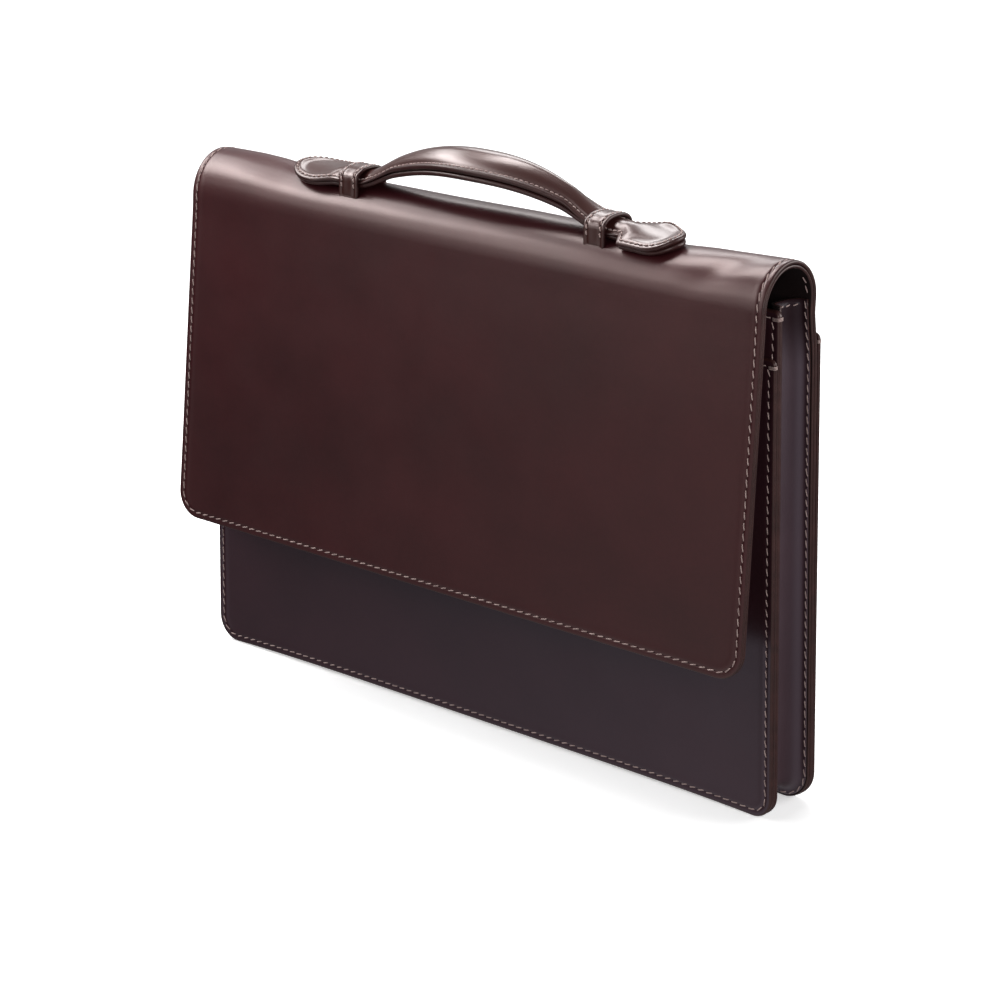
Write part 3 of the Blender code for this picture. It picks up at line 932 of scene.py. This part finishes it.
def build_big_sheet():
    """Back panel, arch and flap front: leather outside and cloth inside; the boards between them
    come from build_boards().
    """
    outline = rounded_outline(sheet_corners(), spacing=2.6)
    hide = Sheet(outline, sheet_place, LEATHER, edge=SHEET_EDGE, bead=SHEET_BEAD,
                 groove=STITCH_INSET, rows=sheet_rows(5.0), seam=SEAM_PLACE,
                 columns=np.linspace(-CASE_HALF, CASE_HALF, 73))
    back, front = hide.build_split(("back_and_arch", "flap"), (FLAP_LIT_LEATHER, *OUTSIDE))
    blend_back(back, "flap_leather", "back_panel_leather", "flap_bridge_leather")
    blend_front(front, "flap_leather", "flap_front_leather")

    path = inset_path(outline, STITCH_INSET - 0.2)
    for name, blend, keep in (("back_stitches", blend_back, below_seam),
                              ("flap_stitches", blend_front, above_seam)):
        blend(stitch_row(name, cut_path(path, keep), sheet_place, STITCH_DEPTH), "thread")

    cut = rounded_outline(shrunk(sheet_corners(), 0.25), spacing=3.2)
    cloth = Sheet(cut, sheet_place, LINING + PANEL_LINING_DEPTH - SHEET_LINING_DEPTH,
                  bead=SHEET_LINING_BEAD, depth=SHEET_LINING_DEPTH, seam=SEAM_PLACE,
                  rows=sheet_rows(8.0), columns=np.linspace(-CASE_HALF, CASE_HALF, 49))
    back, front = cloth.build_split(("back_and_arch_cloth", "flap_cloth"), (CLOTH, EDGE, CLOTH))
    blend_back(back, "lining", "back_panel_lining", "flap_bridge_lining")
    blend_front(front, "lining", "flap_front_lining")
    path = inset_path(cut, STITCH_INSET - 0.45)
    blend_front(stitch_row("flap_inner_stitches", cut_path(path, above_seam), sheet_place,
                           PANEL_STACK - 0.3, side=-1.0), "thread")
    for name, sign in (("arch_inner_stitches_right", 1), ("arch_inner_stitches_left", -1)):
        part = cut_path(path, lambda p: (
            (p[:, 1] > ARCH_START) & below_seam(p) & (sign * p[:, 0] > 0)))
        blend_back(stitch_row(name, part, sheet_place, PANEL_STACK, side=-1.0), "thread")


# ---- gusset
def gusset_section(z):
    """Visible face of the folded strip at one height: inset from the case edge, and y."""
    front = FRONT_LOW[1] + PANEL_STACK + GAP + GUSSET_LEATHER
    drop = 1 - smooth_step(z, REAR_TOP - 14, GUSSET_HIGH[2])
    back = GUSSET_HIGH[1] - 1.2 + drop * (2.6 + 1.4 * (1 - smooth_step(z, 0, 200)))
    web, fold, sewn = GUSSET_WEB, GUSSET_FOLD, GUSSET_SEWN
    sweep = back - GUSSET_SWEEP
    section = [(3.8, front), (5.0, front)]
    for a in math.pi / 2 * np.arange(7) / 6:
        section.append((web - fold + fold * math.sin(a), front + fold * (1 - math.cos(a))))
    for t in np.arange(1, 8) / 8:
        ripple = 0.4 * math.sin(z / 8.0 + 3 * t) * math.exp(-z / 35.0) * math.sin(math.pi * t)
        section.append((web + ripple, front + fold + (sweep - front - fold) * t))
    for a in math.pi / 2 * np.arange(13) / 12:
        section.append((sewn + (web - sewn) * math.cos(a), sweep + (back - sweep) * math.sin(a)))
    return section + [(2.4, back), (1.3, back)]


def build_gusset():
    """The U-shaped strip between front and back, folded inwards with flat sewn flanges."""
    top = GUSSET_HIGH[2] + 1.5
    corners = [(-half_width(0), 0, CORNER_RADIUS), (half_width(0), 0, CORNER_RADIUS),
               (half_width(top), top, 0), (-half_width(top), top, 0)]
    outline = rounded_outline(corners, spacing=3.0)
    on_top = np.abs(outline[:, 1] - top) < 1e-6
    first = int(np.where(on_top & (outline[:, 0] < -half_width(top) + 0.1))[0][0])
    last = int(np.where(on_top & (outline[:, 0] > half_width(top) - 0.1))[0][0])
    order = list(range(first, len(outline))) + list(range(0, last + 1))
    inward = pulled_in(outline, 1.0) - outline
    inward[[first, last]] = [[1, 0], [-1, 0]]
    base, inward = outline[order], inward[order]
    run = length_along(base)
    sections = np.array([gusset_section(z) for z in base[:, 1]])
    count, across = sections.shape[:2]
    tangent = unit(np.gradient(sections, axis=1))
    # The hidden side lies towards the bag's inside: larger inset at the web, outwards at flanges.
    normal = np.stack([tangent[..., 1], -tangent[..., 0]], -1)
    normal = normal * np.sign(normal[:, across // 2, 0])[:, None, None]

    def carry(section):
        flat = base[:, None] + inward[:, None] * section[..., :1]
        lift = ground_lift(flat[..., 0], flat[..., 1])
        return np.stack([flat[..., 0], section[..., 1], flat[..., 1] + lift], -1).reshape(-1, 3)

    def strip(name, near, far, materials, slot, node):
        length = np.cumsum(np.linalg.norm(np.diff(sections, axis=1, prepend=sections[:, :1]),
                                          axis=2), axis=1)
        flats = np.stack([length, np.repeat(run[:, None], across, 1)], -1).reshape(-1, 2)
        points = np.concatenate([carry(sections + normal * near), carry(sections + normal * far)])
        faces, slots = [], []
        half = count * across
        for i in range(count - 1):
            for j in range(across - 1):
                a, b = i * across + j, (i + 1) * across + j
                faces.append((a, a + 1, b + 1, b))
                faces.append((a + half, b + half, b + 1 + half, a + 1 + half))
                slots += [0, 2]
        sides = [(i * across + j, (i + 1) * across + j)
                 for i in range(count - 1) for j in (0, across - 1)]
        ends = [(i * across + j, i * across + j + 1)
                for i in (0, count - 1) for j in range(across - 1)]
        faces += [(a, b, b + half, a + half) for a, b in sides + ends]
        slots += [1] * len(sides + ends)
        made = make_object(name, points, faces, slots, materials, np.concatenate([flats] * 2))
        ride_with(made, "case", slot, node)

    strip("gusset", 0.0, GUSSET_LEATHER, (GUSSET, *OUTSIDE), "body_leather", "gusset_leather")
    strip("gusset_cloth", GUSSET_LEATHER + 0.25, GUSSET_LINING_END, (CLOTH,) * 3,
          "lining", "gusset_lining")

    # Stitches: along the back flange, and across the hem at both ends.
    def flange_place(u, v, depth):
        i = np.interp(u, run, np.arange(count))
        low = np.clip(np.floor(i).astype(int), 0, count - 2)
        t = (i - low)[:, None]
        at = base[low] * (1 - t) + base[low + 1] * t
        pull = inward[low] * (1 - t) + inward[low + 1] * t
        y = sections[low, -1, 1] * (1 - t[:, 0]) + sections[low + 1, -1, 1] * t[:, 0]
        flat = at + pull * v[:, None]
        lift = ground_lift(flat[:, 0], flat[:, 1])
        return np.stack([flat[:, 0], y + depth, flat[:, 1] + lift], 1)

    path = np.stack([run, np.full(count, 2.2)], 1)
    ride_with(stitch_row("gusset_back_stitches", path, flange_place, 0.0), "case", "thread")
    for name, end in (("left", 0), ("right", count - 1)):
        sweep = length_along(sections[end])

        def hem_place(u, v, depth):
            inset, y = (np.interp(u, sweep, values) for values in sections[end].T)
            ni, ny = (np.interp(u, sweep, values) for values in normal[end].T)
            x = base[end, 0] + inward[end, 0] * (inset + ni * depth)
            return np.stack([x, y + ny * depth, base[end, 1] - v], 1)

        hem = np.stack([np.linspace(3.2, sweep[-1] - 3.4, 40), np.full(40, 2.6)], 1)
        row = stitch_row("gusset_hem_stitches_" + name, hem, hem_place, 0.0,
                         pitch=HEM_PITCH, length=HEM_LENGTH)
        ride_with(row, "case", "thread")


# ---- handle
def grip_rise(d):
    return GRIP_RISE * np.maximum(0, 1 - (np.abs(d) / by_side(d, GRIP_SPAN)) ** 2.4) ** 1.6


def by_side(d, pair):
    """The left or right value of a pair, for places on the handle."""
    return np.where(np.asarray(d) < 0, pair[0], pair[1])


def handle_half_width(d):
    away = np.abs(d)
    bell = NECK_HALF_WIDTH + (GRIP_HALF_WIDTH - NECK_HALF_WIDTH) * (
        np.cos(np.pi * np.clip(away / NECK_START, 0, 1)) + 1) / 2
    start = by_side(d, SHOULDER_START)
    corner = start + by_side(d, SHOULDER_LENGTH)
    shoulder = by_side(d, SHOULDER_HALF_WIDTH)
    flare = (NECK_HALF_WIDTH + (shoulder - NECK_HALF_WIDTH) * smooth_step(away, start, corner)
             + (PADDLE_HALF_WIDTH - shoulder) * smooth_step(away, corner - 2, FLARE_END))
    wide = np.where(away < NECK_START, bell, flare)
    round_start = by_side(d, PADDLE_ROUND_START)
    reach = by_side(d, PADDLE_TIP) - round_start
    past = np.clip(np.maximum(away - round_start, 0) / reach, 0, 1)
    return wide * np.sqrt(1 - past ** 2)


def on_arch(v, h):
    angle = (v + HANDLE_Y - ARCH_Y) / ARCH_RADIUS
    r = ARCH_RADIUS + h
    return ARCH_Y + r * np.sin(angle), ARCH_Z + r * np.cos(angle)


def handle_place(d, v, h):
    """Carries a flat place on the handle, h above its underside, into space."""
    away = np.abs(d)
    follow = smooth_step(away, FOLLOW_START, FOLLOW_START + 22)
    middle = on_arch(0.0, HANDLE_LIFT)[1]
    y_arch, z_arch = on_arch(v, HANDLE_LIFT + h)
    y = (HANDLE_Y + v) * (1 - follow) + y_arch * follow
    z = (middle + h) * (1 - follow) + z_arch * follow + grip_rise(d)
    near, flat, far = (by_side(d, pair) for pair in zip(*PADDLE_BEND))
    across = v / PADDLE_HALF_WIDTH
    bend = flat + (far - near) / 2 * across + ((far + near) / 2 - flat) * across ** 2
    z = z + bend * smooth_step(away, SHOULDER_START[0] - 4, SHOULDER_START[0] + 10)
    # The far side of the right paddle curls up a little.
    beyond = np.clip(across, 0, 1.2) ** 2
    curl = bell(d, CURL_PLACE, CURL_REACH) * beyond
    z = z + PADDLE_CURL * curl - PADDLE_DROOP * smooth_step(d, 94, 113)
    x = HANDLE_X + d - PADDLE_SKEW * beyond * smooth_step(d, 84, 112)
    return np.stack([x, y, z], 1)


def handle_outline():
    angles = np.linspace(0, math.pi / 2, 20)[1:-1]
    halves = []
    for sign, round_start, tip in zip((-1, 1), PADDLE_ROUND_START, PADDLE_TIP):
        away = np.concatenate([
            np.linspace(0, 77, 42), np.linspace(78, 92, 36), np.linspace(93, round_start, 7),
            round_start + (tip - round_start) * np.sin(angles)])
        halves.append(np.stack([sign * away, handle_half_width(sign * away)], 1))
    left, right = halves
    mirror = np.array([1, -1])
    return np.concatenate([
        right * mirror, [[PADDLE_TIP[1], 0.0]], right[::-1],
        left[1:], [[-PADDLE_TIP[0], 0.0]], (left * mirror)[:0:-1]])


def handle_edge_height(d):
    neck = smooth_step(np.abs(d), 50, 66) * (1 - smooth_step(np.abs(d), 80, 90))
    grip = 0.8 * np.maximum(0, 1 - (d / CROWN_SPAN) ** 2)
    return HANDLE_EDGE + grip + (NECK_EDGE - HANDLE_EDGE) * neck


def crown_over_edge(d, distance):
    """Height of the cover above its own edge, from the distance to the outline."""
    away = np.abs(d)
    wide = np.maximum(handle_half_width(d), 1.0)
    crown = CROWN_HEIGHT * np.maximum(0, 1 - (away / CROWN_SPAN) ** 2.6)
    paddle = smooth_step(away, SHOULDER_START[0], SHOULDER_START[0] + 9)
    crown = np.maximum(crown, 1.5 * (1 - paddle))
    flat_rim = RIM_STITCH + 0.6
    inner = np.clip((distance - flat_rim) / np.maximum(wide - flat_rim, 1.0), 0, 1)
    dome = crown * (1 - (1 - inner) ** 2.2)
    hollow = -PADDLE_HOLLOW * paddle * smooth_step(distance, 3.0, 6.0)
    mound = PADDLE_MOUND * bell(away, MOUND_PLACE, MOUND_REACH)
    mound = mound * paddle * smooth_step(distance, 3.0, 6.5)
    roll = -0.3 * (1 - paddle) * (1 - np.clip(distance / (flat_rim + 0.3), 0, 1)) ** 1.3
    channel = -0.10 * bell(distance, RIM_STITCH, 0.4)
    crease = -0.3 * (1 - paddle) * bell(distance, flat_rim, 0.6)
    return dome + hollow + mound + roll + channel + crease


def cover_height(d, distance):
    return handle_edge_height(d) + crown_over_edge(d, distance)


class HandleCover(Sheet):
    """The padded top layer of the handle; its painted edge spans the upper half of the rim."""

    def top_depth(self, distance):
        return -cover_height(self.flat[:, 0], distance)

    def bottom_depth(self, distance):
        over = cover_height(self.flat[:, 0], distance) - 2.0
        return -np.maximum(COVER_START, np.minimum(over, COVER_START + 9))

    def bead_line(self, angle):
        around = pulled_in(self.outline, self.bead * (1 - math.sin(angle)))
        d = around[:, 0]
        top = cover_height(d, np.full(len(d), self.bead))
        height = COVER_START + (top - COVER_START) * (1 + math.cos(angle)) / 2
        return super().bead_line(angle)[0], handle_place(d, around[:, 1], height)


def build_handle():
    outline = handle_outline()
    columns = np.arange(-118, 118.5, HANDLE_MESH[0])
    rows = np.arange(-13.2, 13.3, HANDLE_MESH[1])

    def lifted(u, v, depth):
        return handle_place(u, v, -depth)

    def rim_place(u, v, depth):
        return handle_place(u, v, cover_height(u, np.full(len(u), RIM_STITCH)) - depth)

    cover = HandleCover(outline, lifted, HANDLE_LAYER, groove=RIM_STITCH, columns=columns,
                        rows=rows)
    made = cover.build("handle_cover_leather", (HANDLE, *OUTSIDE))
    ride_with(made, "handle", "handle_leather", "handle_cover")

    thick = HANDLE_LAYER - 0.25
    base = Sheet(outline, lifted, thick, bead=0.8, depth=-thick, columns=columns[::2],
                 rows=rows[::2])
    ride_with(base.build("handle_base_leather", (HANDLE, EDGE, HANDLE)), "handle",
              "handle_leather", "handle_underside")
    row = stitch_row("handle_stitches", inset_path(outline, RIM_STITCH), rim_place,
                     -STITCH_DEPTH, True, 1.0, *FINE_STITCH)
    ride_with(row, "handle", "thread")


def keeper_path():
    """Outer line of a keeper across the handle: (v, h) points from the front foot to the rear."""
    outer = KEEPER_HALF_GAP + KEEPER_STRAP
    rise = KEEPER_INNER_HEIGHT + KEEPER_STRAP - KEEPER_SPRING
    leg = np.linspace(KEEPER_FOOT, KEEPER_SPRING, 8)
    points = [(-outer, h) for h in leg]
    for a in math.pi * np.arange(1, 24) / 24:
        reach = abs(math.cos(a)) ** 0.9 * math.copysign(1, math.cos(a))
        points.append((-outer * reach, KEEPER_SPRING + rise * math.sin(a) ** 0.9))
    points += [(outer, h) for h in np.linspace(KEEPER_SPRING, KEEPER_FOOT, 8)]
    return np.array(points)


def build_keepers():
    """The two leather loops that hold the handle down on the arch."""
    line = keeper_path()
    run = length_along(line)
    tangent = unit(np.gradient(line, axis=0))
    out = np.stack([-tangent[:, 1], tangent[:, 0]], 1)
    base = on_arch(0.0, HANDLE_LIFT)[1]
    half = KEEPER_WIDTH / 2
    along = np.linspace(KEEPER_STITCH_END, run[-1] - KEEPER_STITCH_END, 60)
    outline = rounded_outline([(u, v, KEEPER_CORNER) for u, v in (
        (-half, 0), (half, 0), (half, run[-1]), (-half, run[-1]))], 1.0, 4)
    for side, centre in zip(("left", "right"), KEEPER_X):
        def place(u, v, depth):
            y, z = (np.interp(v, run, values) for values in line.T)
            oy, oz = (np.interp(v, run, values) for values in out.T)
            return np.stack([centre + u, HANDLE_Y + y - oy * depth, base + z - oz * depth], 1)

        strap = Sheet(outline, place, KEEPER_STRAP, bead=KEEPER_BEAD, groove=KEEPER_STITCH,
                      columns=np.linspace(-half, half, 12), rows=np.linspace(0, run[-1], 64))
        ride_with(strap.build("keeper_strap_" + side, (HANDLE, *OUTSIDE)), "flap_bridge",
                  "handle_leather", "keeper_" + side)
        for row, u in (("a", -half + KEEPER_STITCH), ("b", half - KEEPER_STITCH)):
            path = np.stack([np.full(60, u), along], 1)
            threads = stitch_row("keeper_stitches_" + side + "_" + row, path, place, 0.12,
                                 False, 1.0, *FINE_STITCH)
            ride_with(threads, "flap_bridge", "thread")


# ---- hidden parts
def build_boards():
    margin = BOARD_MARGIN
    wide, waist = half_width(0) - margin, half_width(BACK_AXIS_Z) - margin
    end = half_width(FLAP_LOW[2]) - margin
    for name, node, body, low, high, near, far in (
            ("back_stiffener", "back_panel_board", "case",
             margin, BACK_AXIS_Z - margin, wide, waist),
            ("flap_stiffener", "flap_front_board", "flap_front",
             ARCH_END + 2 * margin, SHEET_END - margin, waist, end)):
        outline = rounded_outline([
            (-near, low, BOARD_CORNER), (near, low, BOARD_CORNER),
            (far, high, BOARD_CORNER), (-far, high, BOARD_CORNER)], 8.0, 4)
        board = Sheet(outline, sheet_place, THIN_BOARD, bead=THIN_BOARD_BEAD,
                      depth=THIN_BOARD_DEPTH, cell=20)
        ride_with(board.build(name, (PRESSED,) * 3), body, "board", node)


def dress_cad_nodes():
    """CAD nodes that stay: the magnets, the felt core and the stiffener under the handle."""
    for node, material in (
            ("front_magnet_left", STEEL), ("front_magnet_right", STEEL),
            ("flap_magnet_left", STEEL), ("flap_magnet_right", STEEL),
            ("handle_core", CORE), ("handle_reinforcement", PRESSED)):
        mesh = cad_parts[node].data
        mesh.materials.clear()
        mesh.materials.append(material)


# ---- stage
def build_floor():
    size = FLOOR_SIZE
    floor = make_object("studio_floor", [(-size, -size, -0.2), (size, -size, -0.2),
                                         (size, size, -0.2), (-size, size, -0.2)],
                        [(0, 1, 2, 3)], [0], (FLOOR,))
    floor.visible_glossy = False
    floor.visible_diffuse = False


def build_world():
    """Soft light from all round, and what the polished surfaces mirror."""
    world = bpy.data.worlds.new("studio")
    bpy.context.scene.world = world
    world.use_nodes = True
    tree = world.node_tree
    direction = split_place(tree)

    def seen(axis, start, end, low, high):
        return fade(tree, direction[axis], start, end, low, high)

    def joined(kind, a, b):
        return add_node(tree, "Math", {0: a, 1: b}, operation=kind).outputs["Value"]

    def times(a, b):
        return joined("MULTIPLY", a, b)

    def plus(a, b):
        return joined("ADD", a, b)

    # The dim table in front, the horizon, a brighter wall behind and the room at the right.
    table = times(seen("Z", -0.28, -0.1, 0.66, 0.14), seen("X", -0.72, -0.54, 0.0, 1.15))
    horizon = times(seen("Z", -0.18, -0.06, 0.0, 0.3), seen("Z", 0.1, 0.35, 1.0, 0.0))
    horizon = times(horizon, seen("X", -0.72, -0.58, 0.0, 1.0))
    table = times(plus(table, horizon), seen("Y", -0.1, 0.4, 1.0, 0.0))
    wall = times(seen("Y", -0.1, 0.45, 0.0, 0.5), seen("Z", -0.08, 0.2, 0.3, 1.0))
    side = times(seen("X", 0.2, 0.6, 0.0, 0.12), seen("Z", -0.6, 0.1, 0.5, 1.0))
    mirrored = plus(plus(table, wall), side)
    # Soft light bounced up from the table and a little from the room.
    bounced = seen("Z", -0.2, 0.2, 0.25, 0.05)
    ray = add_node(tree, "LightPath").outputs
    ambient = plus(times(ray["Is Diffuse Ray"], bounced), times(ray["Is Camera Ray"], 1.0))
    strength = plus(ambient, times(ray["Is Glossy Ray"], mirrored))
    background = tree.nodes["Background"]
    tree.links.new(strength, background.inputs["Strength"])
    background.inputs["Color"].default_value = (1, 1, 1, 1)
    world.cycles.sampling_method = "NONE"


def build_lights():
    for name, place, aim, size, power in SOFTBOXES:
        light = bpy.data.lights.new(name, "AREA")
        light.shape = "RECTANGLE"
        light.size, light.size_y = size
        light.energy = power
        lamp = bpy.data.objects.new(name, light)
        bpy.context.scene.collection.objects.link(lamp)
        lamp.location = place
        lamp.rotation_euler = (Vector(place) - Vector(aim)).to_track_quat("Z", "Y").to_euler()
        lamp.visible_glossy = name != "backdrop_box"


def build_camera():
    azimuth, elevation = CAMERA_ANGLES
    back = Vector((math.sin(azimuth) * math.cos(elevation),
                   -math.cos(azimuth) * math.cos(elevation), math.sin(elevation)))
    data = bpy.data.cameras.new("camera")
    data.lens = CAMERA_LENS
    data.sensor_width = 36.0
    data.clip_start, data.clip_end = 0.05, 60.0
    camera = bpy.data.objects.new("camera", data)
    bpy.context.scene.collection.objects.link(camera)
    camera.location = Vector(CAMERA_TARGET) + back * CAMERA_DISTANCE
    camera.rotation_euler = back.to_track_quat("Z", "Y").to_euler()
    bpy.context.scene.camera = camera
    bpy.context.scene.view_settings.view_transform = "Standard"


build_case_panels()
build_big_sheet()
build_gusset()
build_handle()
build_keepers()
build_boards()
dress_cad_nodes()
build_floor()
build_world()
build_lights()
build_camera()
